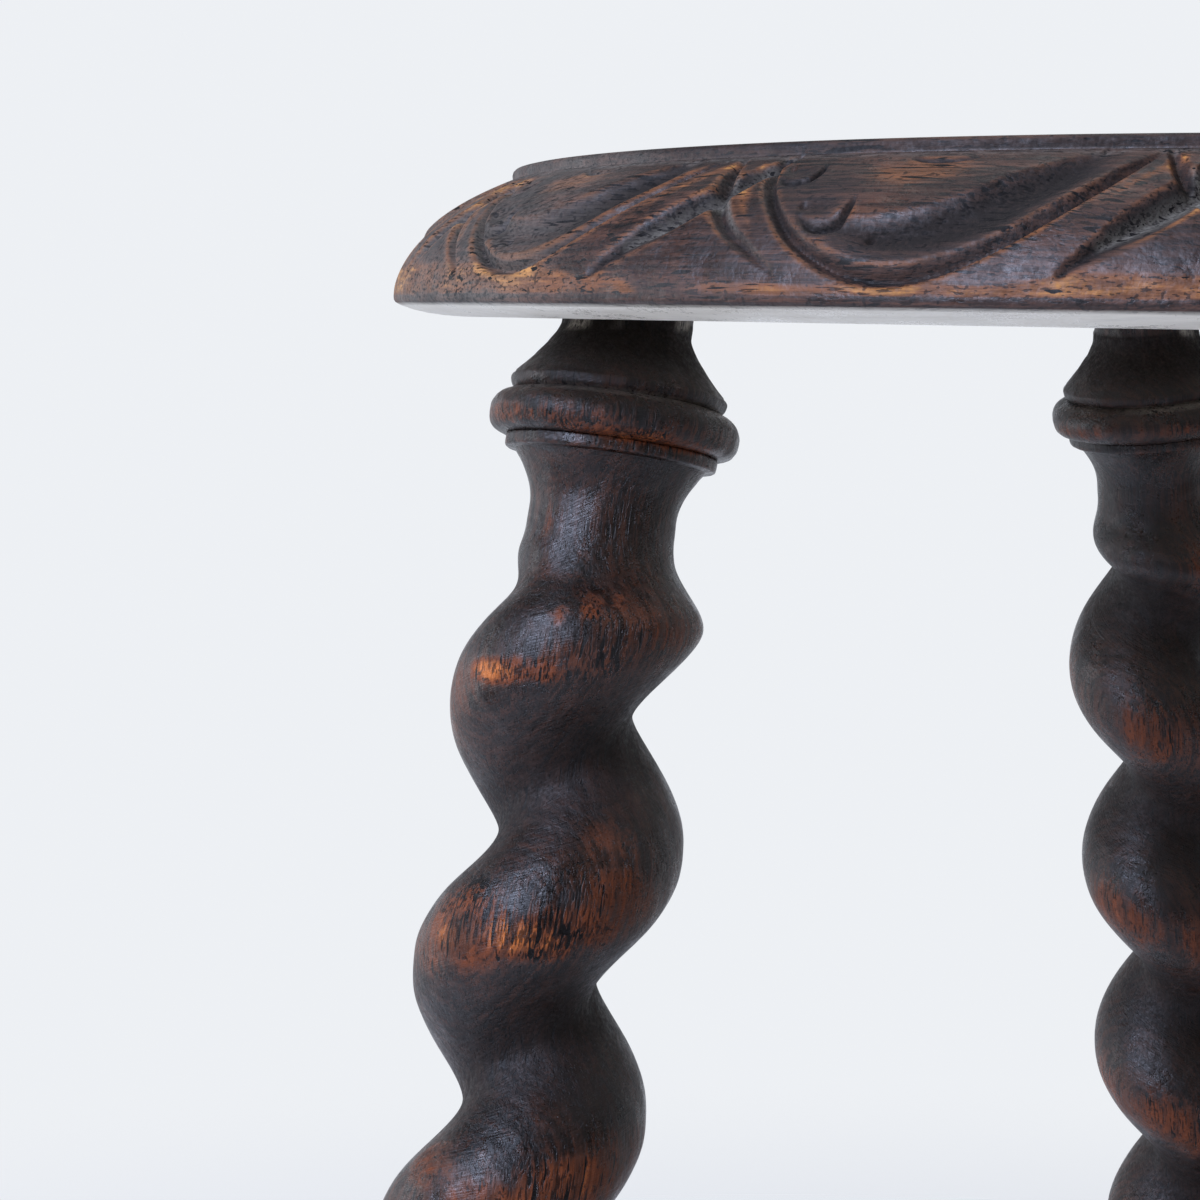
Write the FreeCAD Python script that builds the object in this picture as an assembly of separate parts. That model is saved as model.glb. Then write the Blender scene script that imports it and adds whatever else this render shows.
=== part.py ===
import FreeCAD, Part
import math
import os

# Round oak stool on four barley-twist legs, in millimetres, +Z up.
# Origin: on the floor, under the centre of the seat. Front is -Y, and the board's grain runs along X.
# The legs stand on a square of sockets and lean apart towards -Y and +Y only.

# Whole stool
seat_height = 450.0
leg_spacing = 180.6
splay_angle = 10.8
overrun = 2.0

# Seat board: a flat raised disc, a sloping rim below it, and a small bevel under the edge
seat_radius = 168.5
seat_thickness = 25.6
rim_width = 20.5
lip_height = 2.0
lip_arris = 0.8
edge_height = 4.4
bevel_height = 2.4
bevel_width = 12.0

# Leg tenon through the seat, and its wedge
tenon_radius = 9.5
socket_clearance = 0.15
wedge_thickness = 3.0
wedge_tip = 0.6
wedge_length = 17.0

# Turned top of the leg, from the seat down
neck_radius = 11.2
neck_length = 3.6
flare_length = 8.6
fillet_radius = 18.8
fillet_width = 2.4
quirk_depth = 0.9
bead_radius = 21.8
bead_width = 8.2
lower_fillet_radius = 18.3
lower_fillet_width = 2.2
cove_radius = 16.7
cove_length = 9.5

# Waist and rope twist
waist_radius = 12.8
waist_length = 3.0
swell_length = 15.5
strand_delay = 3.5
strand_run_in = 14.0
twist_pitch = 46.4
twist_radius = 16.65
twist_throw = 5.85
twist_fullness = 0.77
crest_turn = 207.4
strand_steps = 24
round_steps = 36

# Square block that takes the rails
rail_height = 84.0
block_width = 38.0
block_length = 40.0
block_shoulder = 4.5

# Turned foot, from the block down
foot_neck_radius = 12.5
foot_neck_length = 5.0
foot_ring_radius = 16.5
foot_ring_width = 6.0
foot_radius = 19.0
foot_base_radius = 13.0

# Turned rails, and the pegs through their tenons
rail_tenon_radius = 7.0
rail_tenon_length = 11.0
mortise_clearance = 0.15
mortise_relief = 0.5
rail_collar_radius = 9.0
rail_collar_length = 8.0
rail_ring_radius = 12.0
rail_ring_width = 6.5
rail_waist_radius = 8.6
rail_middle_radius = 11.2
peg_radius = 3.0
peg_inset = 5.5
peg_length = 28.0
peg_proud = 0.6
peg_clearance = 0.1

# Points of the round stretches, as shares of the sizes that they join
rim_bulge_shares = (0.66, 0.38)
flare_bend_shares = (0.44, 0.54)
block_round_shares = (0.45, 0.80)

UP = FreeCAD.Vector(0, 0, 1)
ORIGIN = FreeCAD.Vector(0, 0, 0)
underside = seat_height - seat_thickness
lean = math.radians(splay_angle)
socket = leg_spacing / 2
leg_length = underside / math.cos(lean)
block_centre = (underside - rail_height) / math.cos(lean)


def line(start, end):
    return Part.LineSegment(FreeCAD.Vector(*start), FreeCAD.Vector(*end)).toShape()


def arc(start, middle, end):
    points = [FreeCAD.Vector(*point) for point in (start, middle, end)]
    return Part.Arc(*points).toShape()


def at(radius, depth):
    """A point of a turned outline: its radius, and its depth below the seat along the leg."""
    return (radius, 0, -depth)


def turned(edges, top, bottom):
    """Turn an outline about the upright axis, closed at both ends on that axis."""
    first = edges[0].valueAt(edges[0].FirstParameter)
    last = edges[-1].valueAt(edges[-1].LastParameter)
    closing = [line((0, 0, first.z), first), line(last, (0, 0, last.z)), line((0, 0, last.z), (0, 0, first.z))]
    face = Part.Face(Part.Wire([closing[0]] + edges + closing[1:]))
    return face.revolve(ORIGIN, UP, 360)


def rod(radius, start, end):
    """A round bar between two points."""
    along = end - start
    return Part.makeCylinder(radius, along.Length, start, along)


def smooth(share):
    """Ease from 0 to 1 with level ends."""
    share = min(max(share, 0), 1)
    return share * share * (3 - 2 * share)


def seat_board():
    """The board, turned to its edge outline and bored for the four tenons."""
    lip_radius = seat_radius - rim_width
    lip_foot = seat_height - lip_height
    edge_top = underside + edge_height
    bulge = (lip_radius + rim_width * rim_bulge_shares[0],
             0,
             lip_foot - (lip_foot - edge_top) * rim_bulge_shares[1])
    outline = [
        line((lip_radius - lip_arris, 0, seat_height), (lip_radius, 0, seat_height - lip_arris)),
        line((lip_radius, 0, seat_height - lip_arris), (lip_radius, 0, lip_foot)),
        arc((lip_radius, 0, lip_foot), bulge, (seat_radius, 0, edge_top)),
        line((seat_radius, 0, edge_top), (seat_radius, 0, underside + bevel_height)),
        line((seat_radius, 0, underside + bevel_height), (seat_radius - bevel_width, 0, underside)),
    ]
    board = turned(outline, seat_height, underside)
    for side in (-1, 1):
        for end in (-1, 1):
            board = board.cut(socket_hole(side, end))
    return board


def socket_hole(side, end):
    """The slanting hole through the board for one tenon."""
    reach = seat_thickness + overrun
    low = FreeCAD.Vector(side * socket, end * (socket + overrun * math.tan(lean)), underside - overrun)
    high = FreeCAD.Vector(side * socket, end * (socket - reach * math.tan(lean)), underside + reach)
    return rod(tenon_radius + socket_clearance, low, high)


def beads_outline(top):
    """The fillet, bead and fillet of a collar, from its top down."""
    bead_top = top + fillet_width
    bead_bottom = bead_top + bead_width
    bottom = bead_bottom + lower_fillet_width
    bead_middle = (bead_top + bead_bottom) / 2
    upper_quirk = fillet_radius - quirk_depth
    lower_quirk = lower_fillet_radius - quirk_depth
    return [
        line(at(fillet_radius, top), at(fillet_radius, bead_top)),
        line(at(fillet_radius, bead_top), at(upper_quirk, bead_top)),
        arc(at(upper_quirk, bead_top), at(bead_radius, bead_middle), at(lower_quirk, bead_bottom)),
        line(at(lower_quirk, bead_bottom), at(lower_fillet_radius, bead_bottom)),
        line(at(lower_fillet_radius, bead_bottom), at(lower_fillet_radius, bottom)),
    ]


collar_top = neck_length + flare_length
collar_height = fillet_width + bead_width + lower_fillet_width
twist_top = collar_top + collar_height
block_top = block_centre - block_length / 2
block_bottom = block_centre + block_length / 2
twist_bottom = block_top - collar_height


def leg_top():
    """The neck, its flare and the collar under the seat. The neck starts above the seat's underside."""
    flare_bend = at(neck_radius + (fillet_radius - neck_radius) * flare_bend_shares[0],
                    neck_length + flare_length * flare_bend_shares[1])
    outline = [
        line(at(neck_radius, -tenon_radius), at(neck_radius, neck_length)),
        arc(at(neck_radius, neck_length), flare_bend, at(fillet_radius, collar_top)),
    ]
    return turned(outline + beads_outline(collar_top), -tenon_radius, twist_top)


def leg_collar():
    """The same collar upside down, where the twist ends above the block."""
    collar = turned(beads_outline(0), 0, collar_height)
    collar.rotate(ORIGIN, FreeCAD.Vector(1, 0, 0), 180)
    collar.translate(FreeCAD.Vector(0, 0, -block_top))
    return collar


def core_radius(depth):
    """Mean radius of the twisted stretch: a cove, a waist, then a swell to the full rope."""
    reach = min(depth - twist_top, twist_bottom - depth)
    cove_share = min(max(1 - reach / cove_length, 0), 1)
    swell = smooth((reach - cove_length - waist_length) / swell_length)
    return waist_radius + (cove_radius - waist_radius) * cove_share ** 2 + (twist_radius - waist_radius) * swell


def strand_share(depth):
    """How far the strand stands out of the round: none at the waists, all of it along the rope."""
    reach = min(depth - twist_top, twist_bottom - depth)
    return smooth((reach - cove_length - waist_length - strand_delay) / strand_run_in)


def leg_twist():
    """One strand carved round the stem as a right-handed rope, as one smooth surface."""
    start = twist_top - lower_fillet_width / 2
    end = twist_bottom + lower_fillet_width / 2
    rows = round((end - start) / (twist_pitch / strand_steps))
    step = (end - start) / rows
    turn_per_row = math.tau * step / twist_pitch
    # A smooth surface runs a little inside the points that guide it
    around_loss = (2 + math.cos(math.tau / round_steps)) / 3
    along_loss = (2 + math.cos(turn_per_row)) / 3
    guides = []
    for place in range(round_steps):
        phase = math.tau * place / round_steps
        strand = twist_throw * math.cos(phase) - twist_fullness * math.cos(2 * phase)
        strip = []
        for row in range(rows + 1):
            depth = start + step * row
            radius = core_radius(depth) + strand_share(depth) * strand
            radius = radius / around_loss / along_loss
            turn = phase + math.tau * depth / twist_pitch - math.radians(crest_turn)
            strip.append(FreeCAD.Vector(-radius * math.cos(turn), radius * math.sin(turn), -depth))
        guides.append(strip)
    surface = Part.BSplineSurface()
    surface.buildFromPolesMultsKnots(
        guides,
        [1] * (round_steps + 1),
        [4] + [1] * (rows - 3) + [4],
        list(range(round_steps + 1)),
        list(range(rows - 1)),
        True,
        False,
        3,
        3)
    side = surface.toShape()
    ends = [Part.Face(Part.Wire(edge)) for edge in side.Edges if edge.BoundBox.ZLength < step]
    skin = Part.makeShell([side] + ends)
    skin.sewShape()
    return Part.makeSolid(skin)


def leg_block():
    """The square block, its two ends rounded off by the turner's gouge."""
    half = block_width / 2
    corner = half * math.sqrt(2)
    box = Part.makeBox(block_width, block_width, block_length, FreeCAD.Vector(-half, -half, -block_bottom))
    bend = half + (corner - half) * block_round_shares[0]
    drop = block_shoulder * (1 - block_round_shares[1])
    outline = [
        line(at(half, block_top), at(bend, block_top + drop)),
        arc(at(bend, block_top + drop),
            at(bend + (corner - bend) * block_round_shares[1], block_top + block_shoulder * block_round_shares[0]),
            at(corner + overrun, block_top + block_shoulder + overrun)),
        line(at(corner + overrun, block_top + block_shoulder + overrun),
             at(corner + overrun, block_bottom - block_shoulder - overrun)),
        arc(at(corner + overrun, block_bottom - block_shoulder - overrun),
            at(bend + (corner - bend) * block_round_shares[1], block_bottom - block_shoulder * block_round_shares[0]),
            at(bend, block_bottom - drop)),
        line(at(bend, block_bottom - drop), at(half, block_bottom)),
    ]
    return box.common(turned(outline, block_top, block_bottom))


def leg_foot():
    """The neck, ring and bun foot below the block, left long and cut level with the floor later."""
    neck_bottom = block_bottom + foot_neck_length
    ring_bottom = neck_bottom + foot_ring_width
    floor = leg_length + foot_radius * math.tan(lean)
    bun_middle = (ring_bottom + leg_length) / 2
    outline = [
        line(at(foot_neck_radius, block_bottom - overrun), at(foot_neck_radius, neck_bottom)),
        arc(at(foot_neck_radius, neck_bottom),
            at(foot_ring_radius, (neck_bottom + ring_bottom) / 2),
            at(foot_neck_radius, ring_bottom)),
        arc(at(foot_neck_radius, ring_bottom), at(foot_radius, bun_middle), at(foot_base_radius, leg_length)),
        line(at(foot_base_radius, leg_length), at(foot_base_radius, floor)),
    ]
    return turned(outline, block_bottom, floor)


def leaned(shape):
    """Stand a piece of the upright front left leg in its socket, leaning to the front."""
    shape.rotate(ORIGIN, FreeCAD.Vector(1, 0, 0), -splay_angle)
    shape.translate(FreeCAD.Vector(-socket, -socket, underside))
    return shape


def slab(low, high):
    """All the room that the stool takes, between two heights."""
    side = 2 * (seat_radius + seat_height)
    corner = FreeCAD.Vector(-side / 2, -side / 2, low)
    return Part.makeBox(side, side, high - low, corner)


def wedge_blank():
    """The wedge for the top of the tenon, thick end up, longer than the tenon."""
    top = seat_thickness / math.cos(lean) + tenon_radius
    tip = top - wedge_length - tenon_radius
    grow = (wedge_thickness - wedge_tip) / (wedge_length + tenon_radius)
    half_top = (wedge_tip + grow * (top - tip)) / 2
    half_tip = wedge_tip / 2
    corners = [(-half_tip, tip), (half_tip, tip), (half_top, top), (-half_top, top)]
    points = [FreeCAD.Vector(x, -tenon_radius - overrun, z) for x, z in corners]
    face = Part.Face(Part.makePolygon(points + points[:1]))
    return face.extrude(FreeCAD.Vector(0, 2 * (tenon_radius + overrun), 0))


def front_peg_line():
    """Where the peg through the front rail's tenon runs, in the upright leg."""
    half = block_width / 2
    start = FreeCAD.Vector(half - peg_inset, -half - peg_proud, -block_centre)
    return start, start + FreeCAD.Vector(0, peg_length, 0)


def side_peg_line():
    """Where the peg through the side rail's tenon runs, in the upright leg."""
    half = block_width / 2
    out = half - peg_inset
    start = FreeCAD.Vector(-half - peg_proud, out, -block_centre + out * math.tan(lean))
    return start, start + FreeCAD.Vector(peg_length, 0, 0)


def peg(start, end):
    return leaned(rod(peg_radius, start, end))


def peg_hole(start, end):
    """The hole for a peg, open at the face and a little deeper than the peg."""
    along = (end - start).normalize()
    return leaned(rod(peg_radius + peg_clearance, start - along * overrun, end + along * mortise_relief))


def rail_ends(across):
    """Centres of the two blocks that a rail joins: along X for the front rail, along Y for the left."""
    reach = socket + (underside - rail_height) * math.tan(lean)
    first = FreeCAD.Vector(-socket, -reach, rail_height)
    if across:
        return first, FreeCAD.Vector(socket, -reach, rail_height)
    return first, FreeCAD.Vector(-socket, reach, rail_height)


def face_depth(across):
    """From a block's centre to its face, along the rail."""
    return block_width / 2 if across else block_width / 2 / math.cos(lean)


def block_box():
    """The front left leg's square block before its ends are rounded."""
    half = block_width / 2
    return leaned(Part.makeBox(block_width, block_width, block_length, FreeCAD.Vector(-half, -half, -block_bottom)))


def mirrored(shape, side, end):
    """The same piece for another corner of the stool: side 1 is right, end 1 is back."""
    if side > 0:
        shape = shape.mirror(ORIGIN, FreeCAD.Vector(1, 0, 0))
    if end > 0:
        shape = shape.mirror(ORIGIN, FreeCAD.Vector(0, 1, 0))
    return shape


def rail(across):
    """A turned rail: a tenon, collar and ring at each end, and a middle that swells."""
    first, last = rail_ends(across)
    span = (last - first).Length
    face = face_depth(across)
    collar_end = face + rail_collar_length
    ring_end = collar_end + rail_ring_width
    outline = [
        line((rail_collar_radius, 0, 0), (rail_collar_radius, 0, collar_end)),
        arc((rail_collar_radius, 0, collar_end),
            (rail_ring_radius, 0, (collar_end + ring_end) / 2),
            (rail_waist_radius, 0, ring_end)),
        arc((rail_waist_radius, 0, ring_end),
            (rail_middle_radius, 0, span / 2),
            (rail_waist_radius, 0, span - ring_end)),
        arc((rail_waist_radius, 0, span - ring_end),
            (rail_ring_radius, 0, span - (collar_end + ring_end) / 2),
            (rail_collar_radius, 0, span - collar_end)),
        line((rail_collar_radius, 0, span - collar_end), (rail_collar_radius, 0, span)),
    ]
    body = turned(outline, span, 0)
    body.Placement = FreeCAD.Placement(first, FreeCAD.Rotation(UP, last - first))
    corner = (1, -1) if across else (-1, 1)
    body = body.cut(block_box()).cut(mirrored(block_box(), *corner))
    along = (last - first).normalize()
    inner = along * (face - rail_tenon_length)
    piece = body.fuse(rod(rail_tenon_radius, first + inner, last - inner)).removeSplitter()
    hole = peg_hole(*(front_peg_line() if across else side_peg_line()))
    return piece.cut(hole).cut(mirrored(hole, *corner))


def mortise(across):
    """The hole in the front left block for a rail's tenon."""
    first, last = rail_ends(across)
    along = (last - first).normalize()
    face = face_depth(across)
    bottom = first + along * (face - rail_tenon_length - mortise_relief)
    return rod(rail_tenon_radius + mortise_clearance, bottom, first + along * (block_width + overrun))


def front_left_leg():
    """The whole leg: turned, twisted and squared, trimmed to the board and the floor, then bored."""
    parts = [leg_twist(), leg_collar(), leg_block(), leg_foot()]
    leg = leg_top()
    for part in parts:
        leg = leg.fuse(part)
    leg = leaned(leg).common(slab(0, underside))
    foot = FreeCAD.Vector(0, 0, -collar_top)
    head = FreeCAD.Vector(0, 0, seat_thickness / math.cos(lean) + tenon_radius)
    tenon = leaned(rod(tenon_radius, foot, head)).common(slab(0, seat_height))
    leg = leg.fuse(tenon).removeSplitter()
    leg = leg.cut(leaned(wedge_blank()))
    for across in (True, False):
        leg = leg.cut(mortise(across))
    for ends in (front_peg_line(), side_peg_line()):
        leg = leg.cut(peg_hole(*ends))
    return leg


def front_left_wedge():
    """The wedge as driven: trimmed to the tenon and planed level with the seat."""
    head = FreeCAD.Vector(0, 0, seat_thickness / math.cos(lean) + tenon_radius)
    tenon = leaned(rod(tenon_radius, FreeCAD.Vector(0, 0, -collar_top), head))
    return leaned(wedge_blank()).common(tenon).common(slab(0, seat_height))


def save(name, shape):
    """Write one piece as one solid."""
    solids = shape.Solids
    if len(solids) != 1 or not solids[0].isValid():
        raise ValueError(name + " is not one sound solid")
    solids[0].exportStep("parts/" + name + ".step")
    print(name, round(solids[0].Volume / 1000, 2), "cm3")


os.makedirs("parts", exist_ok=True)
save("seat_board", seat_board())

leg = front_left_leg()
wedge = front_left_wedge()
front_peg = peg(*front_peg_line())
side_peg = peg(*side_peg_line())
for end, end_name in ((-1, "front"), (1, "back")):
    for side, side_name in ((-1, "left"), (1, "right")):
        corner = end_name + "_" + side_name
        save("leg_" + corner, mirrored(leg, side, end))
        save("wedge_" + corner, mirrored(wedge, side, end))
        save("peg_" + end_name + "_rail_" + side_name, mirrored(front_peg, side, end))
        save("peg_" + side_name + "_rail_" + end_name, mirrored(side_peg, side, end))

front_rail = rail(True)
left_rail = rail(False)
save("rail_front", front_rail)
save("rail_back", mirrored(front_rail, -1, 1))
save("rail_left", left_rail)
save("rail_right", mirrored(left_rail, 1, -1))
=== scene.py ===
import math
import random

import bpy
import numpy as np
from mathutils import Matrix, Vector, geometry


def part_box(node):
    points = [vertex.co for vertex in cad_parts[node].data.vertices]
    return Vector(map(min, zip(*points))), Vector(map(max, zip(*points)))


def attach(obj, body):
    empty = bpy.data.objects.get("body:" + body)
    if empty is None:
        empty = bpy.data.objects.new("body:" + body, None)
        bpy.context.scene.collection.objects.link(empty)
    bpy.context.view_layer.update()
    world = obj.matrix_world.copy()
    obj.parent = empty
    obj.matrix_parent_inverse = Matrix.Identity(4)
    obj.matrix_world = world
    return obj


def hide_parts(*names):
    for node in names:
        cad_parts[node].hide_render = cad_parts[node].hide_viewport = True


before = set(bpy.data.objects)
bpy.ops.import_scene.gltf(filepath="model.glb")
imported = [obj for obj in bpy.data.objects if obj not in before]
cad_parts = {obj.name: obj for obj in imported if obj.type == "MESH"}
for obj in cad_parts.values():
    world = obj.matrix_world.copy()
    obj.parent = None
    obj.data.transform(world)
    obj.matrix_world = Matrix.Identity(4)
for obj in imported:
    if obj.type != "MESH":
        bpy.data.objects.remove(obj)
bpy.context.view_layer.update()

# Camera
# Close to the stool and level with its seat, looking past the front left leg to the back left one.
# The place and angles come from the two rims of the seat and both legs as the photograph shows them.
board_low, board_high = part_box("seat_board")
camera_place = Vector((0.2333, -0.4864, board_low.z + 0.0006))
camera_heading = math.radians(129.72)
camera_pitch = math.radians(5.55)
camera_roll = math.radians(0.94)
camera_focus_px = 2930
frame_px = 1200

camera_data = bpy.data.cameras.new("camera")
camera = bpy.data.objects.new("camera", camera_data)
bpy.context.scene.collection.objects.link(camera)
bpy.context.scene.camera = camera
camera_data.sensor_width = 36
camera_data.lens = camera_focus_px / frame_px * camera_data.sensor_width
camera_data.clip_start = 0.01
level = Vector((math.cos(camera_heading), math.sin(camera_heading), 0))
forward = (level * math.cos(camera_pitch) - Vector((0, 0, math.sin(camera_pitch)))).normalized()
right = forward.cross(Vector((0, 0, 1))).normalized()
upward = right.cross(forward)
tilted_right = right * math.cos(camera_roll) + upward * math.sin(camera_roll)
tilted_up = upward * math.cos(camera_roll) - right * math.sin(camera_roll)
camera_turn = Matrix((tilted_right, tilted_up, -forward)).transposed().to_4x4()
camera.matrix_world = Matrix.Translation(camera_place) @ camera_turn

# Stage
# A pale floor that fades into a pale surround, a cool soft lamp from the front and two weak ones.
# The surround is seen at its own colour and lights the stool evenly. In reflections it is bright only
# low down behind the stool.
scene = bpy.context.scene
scene.view_settings.view_transform = "Standard"
surround_colour = (0.850, 0.872, 0.905, 1)
floor_colour = (0.80, 0.82, 0.85, 1)
floor_radius = 3.0

world = bpy.data.worlds.new("surround")
scene.world = world
world.use_nodes = True
nodes = world.node_tree.nodes
links = world.node_tree.links
nodes.clear()
out = nodes.new("ShaderNodeOutputWorld")
paths = nodes.new("ShaderNodeLightPath")
seen = nodes.new("ShaderNodeBackground")
seen.inputs["Color"].default_value = surround_colour
seen.inputs["Strength"].default_value = 1
glow = nodes.new("ShaderNodeBackground")
glow.inputs["Color"].default_value = (1.0, 0.98, 0.95, 1)
glow.inputs["Strength"].default_value = 0.42
direction = nodes.new("ShaderNodeTexCoord")
facing = nodes.new("ShaderNodeVectorMath")
facing.operation = "DOT_PRODUCT"
facing.inputs[1].default_value = (-0.64, 0.77, 0)
links.new(direction.outputs["Generated"], facing.inputs[0])
brighter = nodes.new("ShaderNodeMapRange")
brighter.interpolation_type = "SMOOTHSTEP"
brighter.inputs["From Min"].default_value = -0.5
brighter.inputs["From Max"].default_value = 0.7
brighter.inputs["To Min"].default_value = 0.16
brighter.inputs["To Max"].default_value = 0.80
links.new(facing.outputs["Value"], brighter.inputs["Value"])
height = nodes.new("ShaderNodeSeparateXYZ")
links.new(direction.outputs["Generated"], height.inputs[0])
dimmer = nodes.new("ShaderNodeMapRange")
dimmer.interpolation_type = "SMOOTHSTEP"
dimmer.inputs["From Min"].default_value = 0.10
dimmer.inputs["From Max"].default_value = 0.60
dimmer.inputs["To Min"].default_value = 1.0
dimmer.inputs["To Max"].default_value = 0.12
links.new(height.outputs["Z"], dimmer.inputs["Value"])
dimmed = nodes.new("ShaderNodeMath")
dimmed.operation = "MULTIPLY"
links.new(brighter.outputs["Result"], dimmed.inputs[0])
links.new(dimmer.outputs["Result"], dimmed.inputs[1])
mirrored = nodes.new("ShaderNodeBackground")
mirrored.inputs["Color"].default_value = (0.86, 0.91, 1.0, 1)
links.new(dimmed.outputs[0], mirrored.inputs["Strength"])
polished = nodes.new("ShaderNodeMixShader")
links.new(paths.outputs["Is Glossy Ray"], polished.inputs[0])
links.new(glow.outputs[0], polished.inputs[1])
links.new(mirrored.outputs[0], polished.inputs[2])
pick = nodes.new("ShaderNodeMixShader")
links.new(paths.outputs["Is Camera Ray"], pick.inputs[0])
links.new(polished.outputs[0], pick.inputs[1])
links.new(seen.outputs[0], pick.inputs[2])
links.new(pick.outputs[0], out.inputs["Surface"])

for name, place, aim, size, power, colour in (
        ("lamp_key", (-0.35, -1.57, 1.22), (0.0, -0.05, 0.36), (0.7, 1.3), 53, (0.66, 0.74, 1.0)),
        ("lamp_top", (-0.3, 0.5, 1.9), (0.0, 0.0, 0.4), (1.2, 1.2), 5, (0.92, 0.96, 1.0)),
        ("lamp_left", (-1.3, -0.6, 0.42), (0.0, 0.05, 0.28), (0.7, 0.7), 4, (0.88, 0.91, 1.0))):
    lamp_data = bpy.data.lights.new(name, "AREA")
    lamp_data.shape = "RECTANGLE"
    lamp_data.size, lamp_data.size_y = size
    lamp_data.energy = power
    lamp_data.color = colour
    lamp = bpy.data.objects.new(name, lamp_data)
    scene.collection.objects.link(lamp)
    lamp.location = place
    lamp.rotation_euler = (Vector(aim) - Vector(place)).to_track_quat("-Z", "Y").to_euler()

bpy.ops.object.select_all(action="DESELECT")
bpy.ops.mesh.primitive_circle_add(vertices=96, radius=floor_radius, fill_type="NGON")
floor = bpy.context.object
floor.name = "floor"
floor_material = bpy.data.materials.new("pale_floor")
floor_material.use_nodes = True
nodes = floor_material.node_tree.nodes
links = floor_material.node_tree.links
nodes.clear()
out = nodes.new("ShaderNodeOutputMaterial")
place = nodes.new("ShaderNodeTexCoord")
reach = nodes.new("ShaderNodeVectorMath")
reach.operation = "LENGTH"
links.new(place.outputs["Object"], reach.inputs[0])
fade = nodes.new("ShaderNodeMapRange")
fade.interpolation_type = "SMOOTHSTEP"
fade.inputs["From Min"].default_value = 0.45
fade.inputs["From Max"].default_value = 1.1
links.new(reach.outputs["Value"], fade.inputs["Value"])
matt = nodes.new("ShaderNodeBsdfDiffuse")
matt.inputs["Color"].default_value = floor_colour
gone = nodes.new("ShaderNodeBsdfTransparent")
pick = nodes.new("ShaderNodeMixShader")
links.new(fade.outputs["Result"], pick.inputs[0])
links.new(matt.outputs[0], pick.inputs[1])
links.new(gone.outputs[0], pick.inputs[2])
links.new(pick.outputs[0], out.inputs["Surface"])
floor.data.materials.append(floor_material)

# Seat board
# One round oak board an inch thick, stained nearly black: a flat disc stands proud of a sloping rim.
# The rim is carved by gouge and V-tool with lunettes, each with a dart beside it, and has worn warm
# brown on its high edges. The leg sockets are bored right through the board.
mm = 0.001
seat_top = board_high.z / mm
seat_under = board_low.z / mm
seat_radius = (board_high.x - board_low.x) / 2 / mm
rim_width = 20.5
lip_radius = seat_radius - rim_width
lip_height = 2.0
bevel_height = 2.4
bevel_width = 12.0
rim_rows = 74
socket = 90.3
socket_slack = 0.32
splay = math.radians(10.8)
tenon_radius = 9.5
grain_turn = 14
weld_reach = 0.000002
level_slack = 0.01

lip_foot = seat_top - lip_height
shoulder = geometry.interpolate_bezier(
    (lip_radius, 0, lip_foot),
    (lip_radius + 8.3, 0, lip_foot - 3.3),
    (lip_radius + 20.0, 0, lip_foot - 9.2),
    (seat_radius, 0, seat_under + 3.4),
    rim_rows)
arris = seat_under + bevel_height
outline = [
    Vector((lip_radius - 1.1, 0, seat_top)),
    Vector((lip_radius - 0.45, 0, seat_top - 0.15)),
    Vector((lip_radius - 0.1, 0, seat_top - 0.5)),
    Vector((lip_radius + 0.02, 0, seat_top - 1.0)),
    Vector((lip_radius - 0.05, 0, lip_foot + 0.35)),
] + [Vector(p) for p in shoulder] + [
    Vector((seat_radius - 0.05, 0, arris + 0.35)),
    Vector((seat_radius - 0.35, 0, arris - 0.1)),
    Vector((seat_radius - 1.4, 0, arris - 0.65)),
    Vector((seat_radius - 3.4, 0, arris - 1.3)),
    Vector((seat_radius - 6.0, 0, arris - 1.85)),
    Vector((seat_radius - 9.0, 0, seat_under + 0.18)),
    Vector((seat_radius - bevel_width, 0, seat_under)),
]
first_row = 4
last_row = first_row + rim_rows
# The mesh is finest along the front of the rim, which is nearest the camera.
rim_turns = np.concatenate([
    np.linspace(-140, -97, 220)[:-1],
    np.linspace(-97, -66, 350)[:-1],
    np.linspace(-66, 220, 540)])


def eased(share):
    """Ease in and out between 0 and 1, and hold still beyond them."""
    share = np.clip(share, 0, 1)
    return share * share * (3 - 2 * share)


def places_of(piece):
    """The points of a mesh, in millimetres."""
    flat = np.empty(len(piece.data.vertices) * 3)
    piece.data.vertices.foreach_get("co", flat)
    return flat.reshape(-1, 3) / mm


def put_places(piece, places):
    piece.data.vertices.foreach_set("co", (places * mm).ravel())
    piece.data.update()


def put_mark(piece, name, values):
    """Store one number for each point of the mesh, for the material to read."""
    mark = piece.data.attributes.new(name, "FLOAT", "POINT")
    mark.data.foreach_set("value", np.asarray(values, dtype=np.float32))


def smooth_path(points, steps=5):
    """A smooth line through given points, each a place and any sizes that change along it."""
    p = np.array(points, dtype=float)
    p = np.vstack([2 * p[0] - p[1], p, 2 * p[-1] - p[-2]])
    t = np.linspace(0, 1, steps, endpoint=False)[:, None]
    runs = []
    for a, b, c, d in zip(p[:-3], p[1:-2], p[2:-1], p[3:]):
        runs.append(0.5 * (2 * b + (c - a) * t + (2 * a - 5 * b + 4 * c - d) * t ** 2
                           + (3 * b - a - 3 * c + d) * t ** 3))
    return np.vstack(runs + [p[-2:-1]])


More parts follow.
